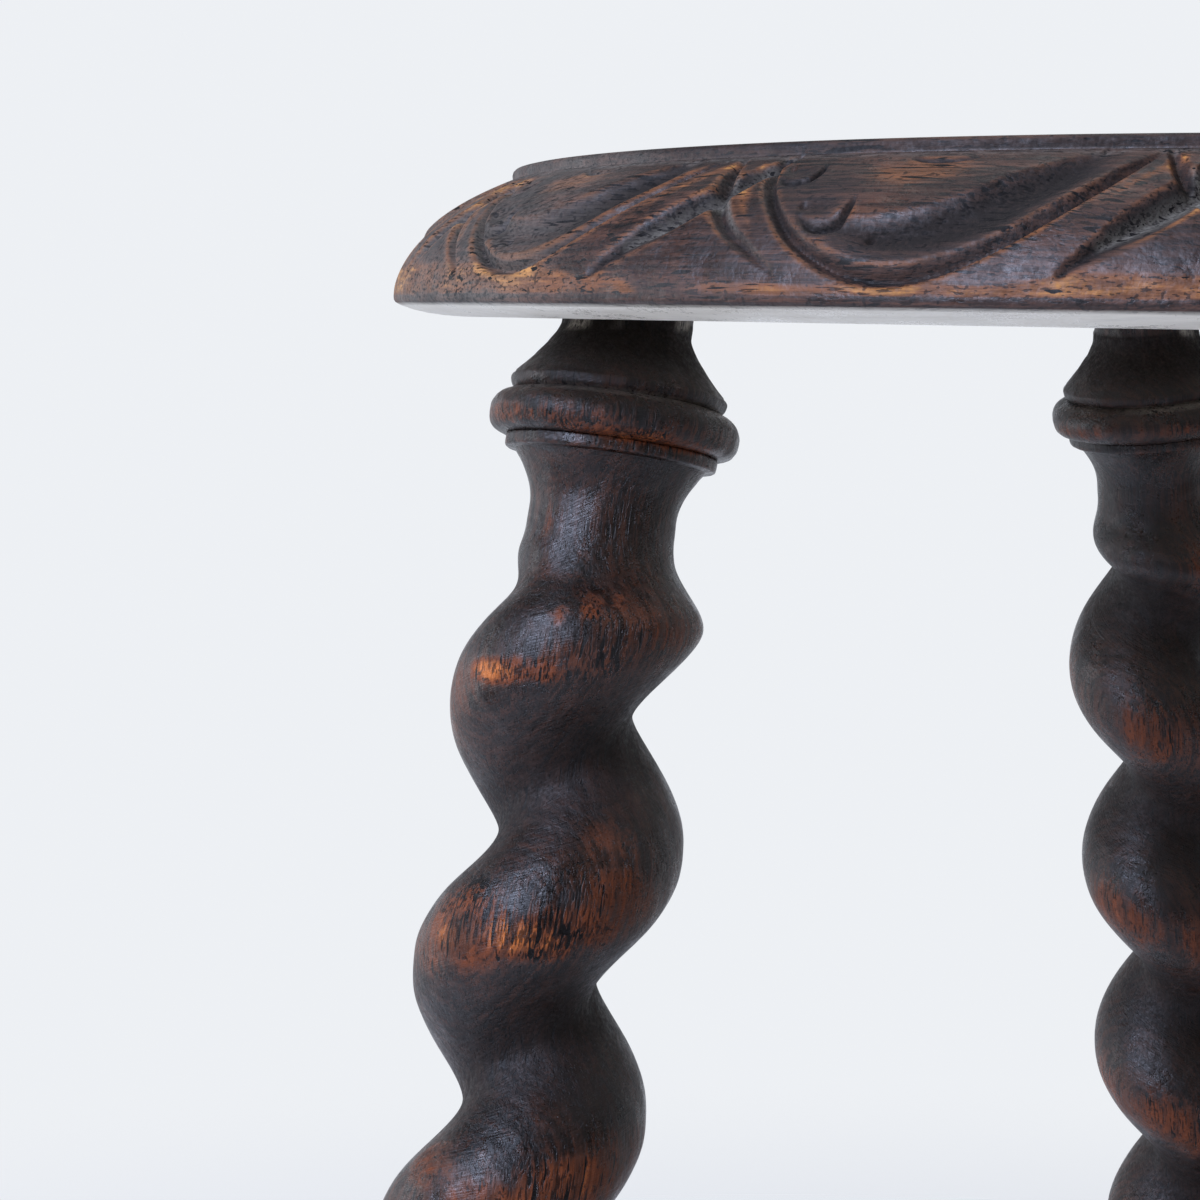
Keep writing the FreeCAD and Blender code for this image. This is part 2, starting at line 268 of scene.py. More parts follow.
def gouged(x, y, cut, power=1.0):
    """Depth of one cut over the rim. Each point of the cut: x, y, depth, width left and right of it."""
    line = smooth_path(cut)
    deepest = np.zeros(x.shape)
    for a, b in zip(line[:-1], line[1:]):
        run = b[:2] - a[:2]
        length = max(float(run @ run), 1e-9)
        share = np.clip(((x - a[0]) * run[0] + (y - a[1]) * run[1]) / length, 0, 1)
        dx = x - a[0] - share * run[0]
        dy = y - a[1] - share * run[1]
        side = run[0] * dy - run[1] * dx
        here = a[2:] + (b - a)[2:] * share[..., None]
        width = np.where(side < 0, here[..., 1], here[..., 2])
        wall = np.clip(1 - np.hypot(dx, dy) / width, 0, 1) ** power
        deepest = np.maximum(deepest, here[..., 0] * wall)
    return deepest


def uneven(places, seed, size):
    """Slow, seeded hills and hollows over a piece, from -1 to 1, about size millimetres across."""
    dice = np.random.default_rng(seed)
    total = np.zeros(len(places))
    waves = 7
    for _ in range(waves):
        way = dice.normal(size=3)
        way = way / np.linalg.norm(way) * math.tau / (size * dice.uniform(1.4, 3.0))
        total += np.sin(places @ way + dice.uniform(0, math.tau))
    usual_height = 3.7
    return total / usual_height


# The lunette and its dart, drawn flat: degrees round the rim from the lunette's middle, then
# millimetres down the slope from the lip. Each point of a cut also has a depth and two widths.
lunette_cut = [
    (-10.0, 1.2, 0.5, 0.4, 0.6), (-9.6, 5.5, 1.4, 0.7, 1.2), (-8.9, 10.5, 1.8, 0.8, 1.5),
    (-7.5, 16.5, 1.9, 1.1, 1.2), (-5.6, 22.4, 1.9, 2.0, 0.8), (-2.9, 26.8, 2.0, 2.6, 0.7),
    (-0.2, 28.3, 2.1, 2.8, 0.7), (2.5, 27.1, 2.2, 2.9, 0.7), (5.2, 23.6, 2.3, 3.0, 0.7),
    (7.4, 18.8, 2.3, 3.0, 0.7), (9.0, 13.2, 2.2, 2.9, 0.7), (10.0, 7.5, 1.8, 2.2, 0.6),
    (10.6, 1.5, 0.7, 0.8, 0.4)]
dart_left_cut = [
    (13.95, 0.8, 0.9, 1.2, 0.9), (13.85, 4.0, 1.8, 2.2, 1.8), (13.75, 7.0, 2.6, 3.4, 2.8),
    (13.55, 10.8, 3.0, 4.2, 3.1), (12.75, 14.8, 2.9, 4.6, 3.0), (11.75, 18.4, 2.5, 4.4, 2.7),
    (10.65, 21.9, 1.8, 3.0, 1.8), (9.65, 24.8, 1.2, 1.5, 1.1), (8.75, 27.2, 0.9, 0.6, 0.6)]
dart_right_cut = [
    (-12.9, 1.6, 0.9, 0.9, 0.8), (-12.7, 6.5, 2.0, 1.8, 1.2), (-12.3, 11.0, 2.6, 2.8, 1.5),
    (-11.8, 14.6, 2.5, 2.8, 1.4), (-11.0, 17.6, 2.1, 2.4, 1.2), (-9.9, 20.6, 1.6, 1.9, 1.0),
    (-8.4, 23.4, 1.1, 1.3, 0.9), (-6.9, 25.9, 0.7, 0.8, 0.7), (-6.3, 27.2, 0.3, 0.5, 0.5)]
hollow_cut = [
    (7.4, 2.5, 0.8, 5.0, 2.0), (6.5, 7.0, 1.7, 7.5, 3.6), (5.2, 11.6, 2.1, 8.0, 4.6),
    (3.8, 16.0, 2.1, 8.0, 4.6), (1.8, 19.4, 1.8, 7.0, 4.4), (-0.8, 21.0, 1.4, 5.6, 3.8),
    (-3.2, 19.8, 0.8, 4.0, 2.8), (-4.8, 16.5, 0.3, 2.6, 2.0)]
upper_thumb_cut = [
    (-8.9, 8.2, 0.4, 0.5, 0.4), (-8.2, 9.7, 1.1, 0.8, 0.7), (-7.4, 10.0, 1.6, 1.1, 0.8),
    (-6.8, 9.0, 1.6, 1.0, 0.8), (-6.6, 7.0, 1.2, 0.7, 0.6), (-6.7, 4.6, 0.3, 0.4, 0.4)]
lower_thumb_cut = [
    (-5.9, 17.9, 0.4, 0.5, 0.4), (-5.1, 19.7, 1.2, 0.9, 0.7), (-4.3, 20.2, 1.8, 1.4, 0.8),
    (-3.6, 19.3, 1.9, 1.3, 0.8), (-3.2, 17.2, 1.5, 0.9, 0.6), (-3.2, 14.0, 0.3, 0.4, 0.4)]
lip_nick_cut = [
    (-2.0, 2.4, 0.3, 0.4, 0.4), (-1.2, 3.4, 0.9, 0.6, 0.5), (-0.2, 3.8, 1.2, 0.7, 0.5),
    (0.8, 3.4, 0.9, 0.6, 0.5), (1.6, 2.4, 0.3, 0.4, 0.4)]
# The smooth ribs that are rubbed reddest: between crescent and groove, between groove and gouge, and
# along the gouge's far edge
rib_lines = [
    [(-11.0, 3.0, 0.5, 1.2, 1.2), (-10.6, 9.0, 0.8, 2.0, 2.0),
     (-9.8, 15.0, 0.8, 2.2, 2.2), (-8.3, 20.5, 0.4, 1.6, 1.6)],
    [(11.9, 2.5, 0.9, 2.0, 2.0), (11.2, 8.0, 0.9, 2.4, 2.4),
     (9.8, 15.0, 0.5, 2.0, 2.0), (8.6, 20.0, 0.3, 2.0, 2.0)],
    [(14.8, 13.0, 0.5, 0.8, 0.8), (14.0, 18.0, 1.0, 1.0, 1.0),
     (12.1, 21.8, 1.0, 0.9, 0.9), (9.6, 25.0, 0.5, 0.6, 0.6)]]
# The gentle hollow that each thumbnail cut was pared down from
thumb_bowls = [(-7.9, 6.6, 0.5, 2.6), (-4.9, 15.6, 0.7, 3.2)]
# Small round dents: degrees, millimetres down, depth, radius
punch_marks = [(-5.9, 15.8, 0.7, 0.9), (-1.4, 21.4, 1.0, 0.8), (-8.7, 5.4, 0.7, 0.8)]
# Where pale dust has settled in the gouge and in the crescent; one wall of the gouge is also painted
# pale, as painted light
gouge_dust_and_light_line = [
    (14.2, 5.0, 0.7, 1.8, 2.2), (14.5, 11.0, 1.0, 3.0, 3.4), (13.6, 15.5, 1.0, 3.2, 3.4),
    (12.4, 19.0, 0.9, 2.4, 2.6), (10.8, 22.5, 0.5, 1.3, 1.3)]
crescent_dust_line = [
    (-12.0, 7.0, 0.6, 0.9, 0.9), (-11.4, 12.5, 0.9, 1.1, 1.2), (-10.4, 17.2, 0.8, 0.9, 1.0),
    (-9.2, 20.8, 0.4, 0.6, 0.6)]
# How far the gouge on each lunette's right leans off its pattern at the lip, in degrees
gouge_lean = [0.0, 0.4, -0.3, 0.6, 0.2, -0.5, 0.8, 0.1, -0.4, 0.5, 0.3, -0.2, 0.7, 1.5]
# How far each lunette's own groove was cut short of the pattern, in millimetres
lunette_rise = [0.0, 0.6, 1.2, 0.2, 0.9, 0.4, 1.4, 0.7, 0.0, 1.1, 0.5, 0.9, 0.3, 1.8]
lunette_count = 14
first_lunette = -84.8
# The two lunettes in the photograph stand a little wider apart than the rest
visible_gap = 26.6
lunette_pitch = (360 - visible_gap) / (lunette_count - 1)

bpy.ops.object.select_all(action="DESELECT")
bpy.ops.mesh.primitive_grid_add(
    x_subdivisions=len(rim_turns) - 1,
    y_subdivisions=len(outline) - 1,
    size=1)
seat = bpy.context.object
seat.name = "seat_board_carved"
grid = places_of(seat) * mm
column = np.rint((grid[:, 0] + 0.5) * (len(rim_turns) - 1)).astype(int)
row = np.rint((grid[:, 1] + 0.5) * (len(outline) - 1)).astype(int)
profile = np.array([(p.x, p.z) for p in outline])
slope = np.concatenate([[0], np.cumsum(np.hypot(*np.diff(profile, axis=0).T))])
slope = slope - slope[first_row + 1]
tangent = np.gradient(profile, axis=0)
outward = np.stack([-tangent[:, 1], tangent[:, 0]], axis=1)
outward = outward / np.linalg.norm(outward, axis=1)[:, None]
turns, downs = np.meshgrid(rim_turns, slope)
radii = profile[:, 0][:, None] + 0 * turns
on_rim = (downs > 0) & (np.arange(len(profile))[:, None] <= last_row)
cut_depth = np.zeros(turns.shape)
shade = np.zeros(turns.shape)
lobe = np.zeros(turns.shape)
dust_and_light = np.zeros(turns.shape)
nicks = np.zeros(turns.shape)
hand = random.Random(7)
# The pattern is drawn at this radius, and reaches so many millimetres down the slope and so many
# degrees either side of a lunette's middle
pattern_radius = 160
flat_scale = math.radians(1) * pattern_radius
pattern_reach = 27
pattern_half = 19


def drawn(cut, shift, lean=0):
    """A cut of the pattern in millimetres, moved round the rim and leant over towards the lip."""
    across = [(p[0] + lean * (1 - p[1] / pattern_reach)) * flat_scale + shift for p in cut]
    return [(x,) + tuple(p[1:]) for x, p in zip(across, cut)]


for number in range(lunette_count):
    middle = first_lunette + lunette_pitch * number
    offset = (turns - middle + 180) % 360 - 180
    near = on_rim & (np.abs(offset) < pattern_half)
    drift = [hand.uniform(-0.18, 0.18) for _ in range(4)]
    x = offset[near] * math.radians(1) * radii[near]
    y = downs[near] + drift[0]
    low = y * (1 + 0.9 * lunette_rise[number] / pattern_reach)
    depth = gouged(x, low, drawn(lunette_cut, drift[1]))
    gouge = gouged(x, y, drawn(dart_left_cut, drift[1], gouge_lean[number]), 1.1)
    depth = np.maximum(depth, gouge)
    # The crescent is the right side of the dart on this lunette's left, and it keeps to the pattern
    depth = np.maximum(depth, gouged(x, y, drawn(dart_right_cut, drift[1]), 1.1))
    bowl = gouged(x, low, drawn(hollow_cut, drift[3]))
    bowl = 2.0 * eased(bowl / 2.0) ** 0.8
    for px, py, deep, radius in thumb_bowls:
        gap = np.hypot((x - px * flat_scale) * 0.8, y - py) / radius
        bowl = np.maximum(bowl, deep * (1 - eased(gap)))
    depth = np.maximum(depth, bowl)
    slits = np.zeros(x.shape)
    for cut in (upper_thumb_cut, lower_thumb_cut, lip_nick_cut):
        slits = np.maximum(slits, gouged(x, y, drawn(cut, drift[2]), 0.8))
    depth = depth + slits
    nicks[near] = np.maximum(nicks[near], slits)
    for px, py, deep, radius in punch_marks:
        gap = np.hypot(x - px * flat_scale, y - py) / radius
        depth = depth + deep * np.clip(1 - gap ** 2, 0, 1)
    cut_depth[near] = np.maximum(cut_depth[near], depth)
    # Painted shade over the hollow, round the thumbnail cuts, down the gouge and in the slits
    thumbs = np.hypot((x / flat_scale + 6.0) / 3.4, (y - 13.0) / 11.0)
    soft_shade = np.max([1.3 * bowl / 2.0, 0.75 * eased(1.25 - thumbs), 1.3 * eased(gouge / 1.2)], axis=0)
    soft_shade = np.maximum(soft_shade, np.clip(slits * 2.4, 0, 1.7))
    shade[near] = np.maximum(shade[near], soft_shade)
    swell = np.hypot((x / flat_scale + 0.8) / 4.6, (y - 7.0) / 6.0)
    ribs = np.max([gouged(x, y, drawn(line, drift[1])) for line in rib_lines], axis=0)
    high_places = np.maximum(0.85 * eased(1.15 - swell), 1.05 * eased(ribs * 1.15))
    lobe[near] = np.maximum(lobe[near], high_places)
    # The gouge's pale wall is dust and painted light
    gouge_dust_and_light = gouged(x, y, drawn(gouge_dust_and_light_line, drift[1] - 1.2, gouge_lean[number]))
    crescent_dust = 0.8 * gouged(x, y, drawn(crescent_dust_line, drift[1]))
    dust_and_light[near] = np.max([dust_and_light[near], gouge_dust_and_light, crescent_dust], axis=0)


def spread(values, passes):
    """Soften values over the rim, as far in millimetres where its mesh is coarse as where it is fine."""
    gap = np.gradient(rim_turns) * math.radians(1) * pattern_radius
    most = 0.22
    share = most * np.minimum(1, (0.4 / gap) ** 2)
    ring = values[:, :-1].copy()
    share = share[:-1]
    for _ in range(passes):
        ring = ring + share * (np.roll(ring, 1, axis=1) + np.roll(ring, -1, axis=1) - 2 * ring)
        up = np.vstack([ring[:1], ring[:-1]])
        low = np.vstack([ring[1:], ring[-1:]])
        ring = ring + most * (up + low - 2 * ring)
    return np.hstack([ring, ring[:, :1]])


cut_depth = spread(cut_depth, 1)
near_depth = spread(cut_depth, 14)
wide_depth = spread(cut_depth, 60)
# The edge of a cut is rubbed bright, but not round the small nicks, so that the shade painted in them
# stays dark
edge = np.clip((near_depth - cut_depth) / 0.30, 0, 1) * (1 - 0.9 * eased(spread(nicks, 8) * 3))
# Painted shade, with some grime, fills the bottom of each cut, and darkens the carved ground a little all
# over
grime_and_shade = np.clip((cut_depth - 0.5 * near_depth) / 0.9, 0, 1) * 0.4
grime_and_shade = grime_and_shade + np.clip(wide_depth / 1.5, 0, 1) * 0.2
radii = radii - outward[:, :1] * cut_depth
heights = profile[:, 1][:, None] - outward[:, 1:] * cut_depth
angle = np.radians(turns)
ring = np.stack([radii * np.cos(angle), radii * np.sin(angle), heights], axis=2)
put_places(seat, ring[row, column])
rise = profile[:, 1][:, None] - seat_under + 0 * turns
# The worn band along the foot of the rim: how tall it is, in millimetres, at places round the board
band_height = np.interp((rim_turns + 140) % 360 - 140, *np.array([
    (-140, 4.0), (-120, 5.0), (-107, 3.6), (-101, 2.6), (-98.8, 0.5), (-96.8, 0.7), (-95, 2.1),
    (-90, 1.5), (-84, 1.4), (-79, 1.7), (-76.5, 3.1), (-71, 3.3), (-62, 2.2), (-48, 0.9), (-30, 2.4),
    (-12, 1.2), (8, 2.8), (30, 1.4), (52, 2.2), (75, 0.8), (98, 2.6), (120, 1.5), (143, 2.9),
    (170, 1.1), (195, 2.0), (220, 2.4)]).T)
band_foot = eased((rise - 3.4) / 0.6)
band_top = 1 - eased((rise - 2.8 - band_height) / 1.8)
band = band_foot * band_top * eased(band_height / 1.4)
# Nothing at the left end of the rim as the photograph shows it, rising to one at the front
toward = eased((turns + 112) / 34)
band = band * np.where(turns < 0, 0.62 + 0.40 * toward, 0.85)
ring_places = ring.reshape(-1, 3)
# The band is broken by darker places, and broad patches all over the rim are rubbed a little more
broken = eased(0.5 + 0.8 * uneven(ring_places, 5, 5)).reshape(turns.shape)
band = band * (0.62 + 0.42 * broken)
blotches = uneven(ring_places, 9, 14).reshape(turns.shape)
# End grain shows at both ends of the board, and the stain has rubbed thin there
end_grain = 0.55 * np.cos(np.radians(turns - grain_turn)) ** 2 * (downs > 3)
lip_wear = 0.35 * (np.arange(len(profile))[:, None] < 3) + 0 * turns
worn = edge * 0.7 + band + lobe * 0.75 * (1 - 0.6 * grime_and_shade) + end_grain + lip_wear
# Less wear shows where shade is painted
worn = worn * (1 - 0.45 * eased(shade))
# That left end is dry and also painted lighter, as light from the left would make it: more pale dust
# tone, a little more wear, and less grime and painted shade in its cuts
left_end = eased((-104 - turns) / 8)
worn = np.clip(worn + (0.18 * blotches + 0.04 * left_end) * (downs > 2), 0, 1.2)
foot_dust = eased(1 - np.abs(downs - 0.9) / 1.5) * 0.8
# The bevel under the rim and the underside are bare wood
raw = eased((bevel_height - 0.15 - rise) / 0.3)
# The lip's vertical face gets painted shade, except at the left end
lip_painted_shade = 0.7 * toward * (np.abs(np.arange(len(profile))[:, None] - 3) < 2)
# The painted shade of hollows, slits and the lip's face joins the grime and painted shade in the cuts
grime_and_shade = np.clip(grime_and_shade + shade * 0.6 + lip_painted_shade, 0, 1)
dry_and_lit = 0.28 * left_end * (downs > -3)
grime_and_shade = grime_and_shade * (1 - 0.4 * left_end)
put_mark(seat, "grime_and_shade", grime_and_shade[row, column])
put_mark(seat, "worn", worn[row, column])
put_mark(seat, "dust_and_light", np.clip(foot_dust * 0.5 + dust_and_light + dry_and_lit, 0, 1)[row, column])
put_mark(seat, "bare", raw[row, column])
bpy.ops.object.mode_set(mode="EDIT")
bpy.ops.mesh.select_all(action="SELECT")
bpy.ops.mesh.remove_doubles(threshold=weld_reach)
bpy.ops.object.mode_set(mode="OBJECT")


def close_face(piece, height, radius):
    """Fill the board's flat face inside its edge, leaving the four sockets open."""
    bpy.ops.object.select_all(action="DESELECT")
    bpy.context.view_layer.objects.active = piece
    piece.select_set(True)
    bpy.ops.object.mode_set(mode="EDIT")
    bpy.ops.mesh.select_all(action="DESELECT")
    reach = (height - seat_under) * math.tan(splay)
    for side in (-1, 1):
        for end in (-1, 1):
            bpy.ops.mesh.primitive_circle_add(
                vertices=48,
                radius=(tenon_radius + socket_slack) * mm,
                location=(side * socket * mm, end * (socket - reach) * mm, height * mm))
    bpy.ops.object.mode_set(mode="OBJECT")
    for edge in piece.data.edges:
        a, b = (piece.data.vertices[i].co for i in edge.vertices)
        flat = abs(a.z - height * mm) < level_slack * mm and abs(b.z - height * mm) < level_slack * mm
        edge.select = flat and a.xy.length < (radius + 0.05) * mm and b.xy.length < (radius + 0.05) * mm
    bpy.ops.object.mode_set(mode="EDIT")
    bpy.ops.mesh.select_mode(type="EDGE")
    bpy.ops.mesh.fill(use_beauty=False)
    bpy.ops.object.mode_set(mode="OBJECT")


close_face(seat, seat_top, lip_radius - 1.1)
close_face(seat, seat_under, seat_radius - bevel_width)
# Join each socket's two circles with a wall that leans as the leg does
seat_places = places_of(seat)
rake = (seat_top - seat_under) * math.tan(splay)
for side in (-1, 1):
    for end in (-1, 1):
        bpy.ops.object.mode_set(mode="EDIT")
        bpy.ops.mesh.select_all(action="DESELECT")
        bpy.ops.object.mode_set(mode="OBJECT")
        in_socket = np.zeros(len(seat_places), dtype=bool)
        for height, lean in ((seat_under, 0), (seat_top, rake)):
            gap = np.hypot(seat_places[:, 0] - side * socket, seat_places[:, 1] - end * (socket - lean))
            in_socket |= (np.abs(seat_places[:, 2] - height) < level_slack) & (gap < tenon_radius + 0.4)
        pairs = np.empty(len(seat.data.edges) * 2, dtype=np.int32)
        seat.data.edges.foreach_get("vertices", pairs)
        seat.data.edges.foreach_set("select", in_socket[pairs.reshape(-1, 2)].all(axis=1))
        bpy.ops.object.mode_set(mode="EDIT")
        bpy.ops.mesh.bridge_edge_loops()
bpy.ops.object.mode_set(mode="OBJECT")
# The two flat faces have no carving, so one value of each mark holds all over them
for name, height, value in (
        ("bare", seat_under, 1.0),
        ("worn", seat_top, 0.3),
        ("grime_and_shade", seat_top, 0.0),
        ("dust_and_light", seat_top, 0.04),
        ("dust_and_light", seat_under, 0.0)):
    values = np.zeros(len(seat_places), dtype=np.float32)
    seat.data.attributes[name].data.foreach_get("value", values)
    values = np.where(np.abs(seat_places[:, 2] - height) < level_slack, np.float32(value), values)
    seat.data.attributes[name].data.foreach_set("value", values)
bpy.ops.object.mode_set(mode="EDIT")
bpy.ops.mesh.select_all(action="SELECT")
bpy.ops.mesh.normals_make_consistent(inside=False)
bpy.ops.object.mode_set(mode="OBJECT")
bpy.ops.object.shade_smooth_by_angle(angle=math.radians(40))


class Weave:
    """A material's nodes, added one call at a time."""

    def __init__(self, name):
        self.material = bpy.data.materials.new(name)
        self.material.use_nodes = True
        self.tree = self.material.node_tree
        self.tree.nodes.clear()
        self.out = self.tree.nodes.new("ShaderNodeOutputMaterial")
        self.skin = self.tree.nodes.new("ShaderNodeBsdfPrincipled")
        self.tree.links.new(self.skin.outputs[0], self.out.inputs["Surface"])

    def put(self, socket_in, value):
        if isinstance(value, bpy.types.NodeSocket):
            self.tree.links.new(value, socket_in)
        else:
            socket_in.default_value = value

    def mark(self, name):
        node = self.tree.nodes.new("ShaderNodeAttribute")
        node.attribute_name = name
        return node.outputs["Fac"]

    def vector_mark(self, name):
        node = self.tree.nodes.new("ShaderNodeAttribute")
        node.attribute_name = name
        return node.outputs["Vector"]

    def place(self, turn, scale, source):
        node = self.tree.nodes.new("ShaderNodeMapping")
        node.inputs["Rotation"].default_value = turn
        node.inputs["Scale"].default_value = scale
        if source is None:
            source = self.tree.nodes.new("ShaderNodeTexCoord").outputs["Object"]
        elif isinstance(source, str):
            source = self.vector_mark(source)
        self.put(node.inputs["Vector"], source)
        return node.outputs["Vector"]

    def noise(self, vector, scale, detail=3, rough=0.5, warp=0):
        node = self.tree.nodes.new("ShaderNodeTexNoise")
        self.put(node.inputs["Vector"], vector)
        node.inputs["Scale"].default_value = scale
        node.inputs["Detail"].default_value = detail
        node.inputs["Roughness"].default_value = rough
        node.inputs["Distortion"].default_value = warp
        return node.outputs["Fac"]

    def ramp(self, value, low, high, to_low=0, to_high=1):
        node = self.tree.nodes.new("ShaderNodeMapRange")
        node.interpolation_type = "SMOOTHSTEP"
        self.put(node.inputs["Value"], value)
        node.inputs["From Min"].default_value = low
        node.inputs["From Max"].default_value = high
        node.inputs["To Min"].default_value = to_low
        node.inputs["To Max"].default_value = to_high
        return node.outputs["Result"]

    def sum(self, operation, a, b, clamp=False):
        node = self.tree.nodes.new("ShaderNodeMath")
        node.operation = operation
        node.use_clamp = clamp
        self.put(node.inputs[0], a)
        self.put(node.inputs[1], b)
        return node.outputs[0]

    def blend(self, share, a, b, kind="MIX"):
        node = self.tree.nodes.new("ShaderNodeMix")
        node.data_type = "RGBA"
        node.blend_type = kind
        self.put(node.inputs["Factor"], share)
        self.put(node.inputs["A"], a)
        self.put(node.inputs["B"], b)
        return node.outputs["Result"]

    def bump(self, height, strength, distance, below=None):
        node = self.tree.nodes.new("ShaderNodeBump")
        self.put(node.inputs["Height"], height)
        node.inputs["Strength"].default_value = strength
        node.inputs["Distance"].default_value = distance
        if below is not None:
            self.put(node.inputs["Normal"], below)
        return node.outputs["Normal"]


def stained_oak(name, along, radial, tones, marks, source=None, turn=(0, 0, 0), ring_scale=1500,
                grain_depth=0.22, polish=0.0, strand=None):
    """Stained and waxed oak: growth rings, fibres and pores, patches of wear, and grime and painted shade
    in the cuts.

    The fibres run along one axis, and the growth rings lie one behind another along the radial axis.
    Both are 0, 1 or 2, for X, Y or Z.

    tones: stain, lighter streak, worn wood, brightest wear, grime and painted shade, dust and painted
    light, and bare wood.
    marks: names of the marks for worn places, grime and painted shade in the cuts, dust and painted
    light, bare wood and open pores, or None.
    source: the mark that holds places along the leg, where the piece leans.
    turn: how far the grain is turned from the piece's own axes.
    ring_scale: how close the growth rings lie.
    grain_depth: how deep the fibres and pores are felt.
    polish: how much smoother than plain waxed oak it is rubbed.
    strand: the mark that holds places along a rope strand, for the fine lines of the rasp."""
    oak = Weave(name)
    stain, streak, worn_wood, bright_wood, grime_and_shade_tone, dust_and_light, bare = tones

    def grain(across, length, tangential=None):
        scale = [tangential or across] * 3
        scale[radial] = across
        scale[along] = length
        return oak.place(turn, tuple(scale), source)

    def marked(index):
        return oak.mark(marks[index]) if marks[index] else 0.0

    # The patterns that the colours and the relief are made from
    rings = oak.noise(grain(ring_scale, 9, 32), 1.0, 2, 0.5, 0.4)
    streaks = oak.noise(grain(1300, 30, 420), 1.0, 3, 0.6)
    fibres = oak.noise(grain(3600, 150), 1.0, 2, 0.6)
    even = oak.place(turn, (1000, 1000, 1000), source)
    blotch = oak.noise(even, 0.035, 4, 0.6, 0.6)
    patch = oak.noise(grain(150, 80), 1.0, 5, 0.62, 0.3)
    dents = oak.noise(even, 0.22, 3, 0.5)
    speck = oak.noise(even, 1.4, 3, 0.6)
    clusters = oak.ramp(oak.noise(even, 0.085, 2, 0.5), 0.35, 0.70, -0.04, 0.07)
    clusters = oak.sum("ADD", clusters, oak.sum("MULTIPLY", marked(4), 0.10))
    pores = oak.ramp(oak.sum("ADD", oak.noise(grain(2700, 340), 1.0, 1, 0.4), clusters), 0.615, 0.665)
    checks = oak.ramp(oak.sum("ADD", oak.noise(grain(1500, 95), 1.0, 1, 0.4), clusters), 0.665, 0.70)
    # Stain, lighter along the streaks and darker in broad patches
    tone = oak.sum("ADD", oak.sum("MULTIPLY", streaks, 0.40), oak.sum("MULTIPLY", fibres, 0.25))
    tone = oak.sum("ADD", tone, oak.sum("MULTIPLY", rings, 0.35))
    colour = oak.blend(oak.ramp(tone, 0.41, 0.60), stain, streak)
    deep_stain = tuple(0.35 * c for c in stain[:3]) + (1,)
    colour = oak.blend(oak.ramp(blotch, 0.42, 0.66, 0, 0.70), colour, deep_stain)
    # Wear breaks up along the fibres, and is brightest where it goes deepest
    worn = marked(0)
    rub = oak.sum("ADD", oak.sum("MULTIPLY", patch, 0.34), oak.sum("MULTIPLY", streaks, 0.36))
    rub = oak.sum("ADD", rub, oak.sum("MULTIPLY", rings, 0.15))
    rub = oak.sum("ADD", rub, oak.sum("MULTIPLY", speck, 0.15))
    rub = oak.sum("ADD", rub, oak.sum("MULTIPLY", worn, 0.45))
    wear = oak.sum("MULTIPLY", oak.ramp(rub, 0.60, 0.92), oak.ramp(worn, 0.0, 0.8), True)
    colour = oak.blend(wear, colour, worn_wood)
    bright = oak.ramp(rub, 0.90, 1.12)
    colour = oak.blend(bright, colour, bright_wood)
    # Growth rings show as darker lines where the stain is rubbed off
    line_strength = 0.8 if strand else 0.4
    lines = oak.sum("MULTIPLY", oak.ramp(rings, 0.52, 0.56), oak.ramp(worn, 0.2, 0.7, 0.0, line_strength))
    ring_line = tuple(1.6 * c for c in streak[:3]) + (1,)
    colour = oak.blend(lines, colour, ring_line)
    # Dark threads of stain that stay in the grain, worn or not
    thin = oak.sum("ADD", oak.sum("MULTIPLY", streaks, 0.6), oak.sum("MULTIPLY", fibres, 0.4))
    thin = oak.ramp(thin, 0.38, 0.60, 0.30, 1.0)
    shade = oak.blend(1.0, colour, (0.4, 0.4, 0.4, 1), "MULTIPLY")
    colour = oak.blend(thin, shade, colour)
    # Grime and painted shade in the cuts, settled dust with painted light, and bare wood
    grime_and_shade_share = oak.sum("MULTIPLY", marked(1), oak.ramp(speck, 0.15, 0.75, 0.75, 1.1), True)
    colour = oak.blend(grime_and_shade_share, colour, grime_and_shade_tone)
    dust_and_light_speckle = oak.ramp(oak.sum("ADD", speck, fibres), 0.8, 1.2, 0.35, 1.0)
    dust_and_light_share = oak.sum("MULTIPLY", marked(2), dust_and_light_speckle, True)
    colour = oak.blend(dust_and_light_share, colour, dust_and_light)
    raw = marked(3)
    covered = oak.sum("SUBTRACT", 1.0, raw, True)
    colour = oak.blend(oak.sum("MULTIPLY", raw, oak.ramp(tone, 0.25, 0.6, 0.8, 1.0)), colour, bare)
    # Open pores, fine splits and small pits, all nearly black
    open_grain = oak.sum("MAXIMUM", oak.sum("MULTIPLY", pores, 0.75), checks)
    open_grain = oak.sum("MULTIPLY", open_grain, covered)
    pits = oak.sum("MULTIPLY", oak.ramp(oak.noise(even, 0.95, 1, 0.5), 0.64, 0.70, 0.0, 0.7), covered)
    colour = oak.blend(oak.sum("MAXIMUM", open_grain, pits), colour, (0.004, 0.003, 0.003, 1))
    oak.put(oak.skin.inputs["Base Color"], colour)
    # Grime, dust and the painted shade and light laid with them are rougher than the waxed wood round
    # them
    rough = oak.ramp(oak.sum("ADD", speck, oak.sum("MULTIPLY", dents, 0.5)), 0.45, 1.0, 0.25, 0.44)
    rough = oak.sum("ADD", rough, oak.ramp(patch, 0.42, 0.60, 0.12, 0.0))
    rough = oak.sum("ADD", rough, oak.sum("MULTIPLY", oak.sum("MAXIMUM", grime_and_shade_share, dust_and_light_share), 0.35))
    rough = oak.sum("SUBTRACT", rough, oak.sum("ADD", oak.sum("MULTIPLY", raw, 0.15), polish), True)
    oak.put(oak.skin.inputs["Roughness"], rough)
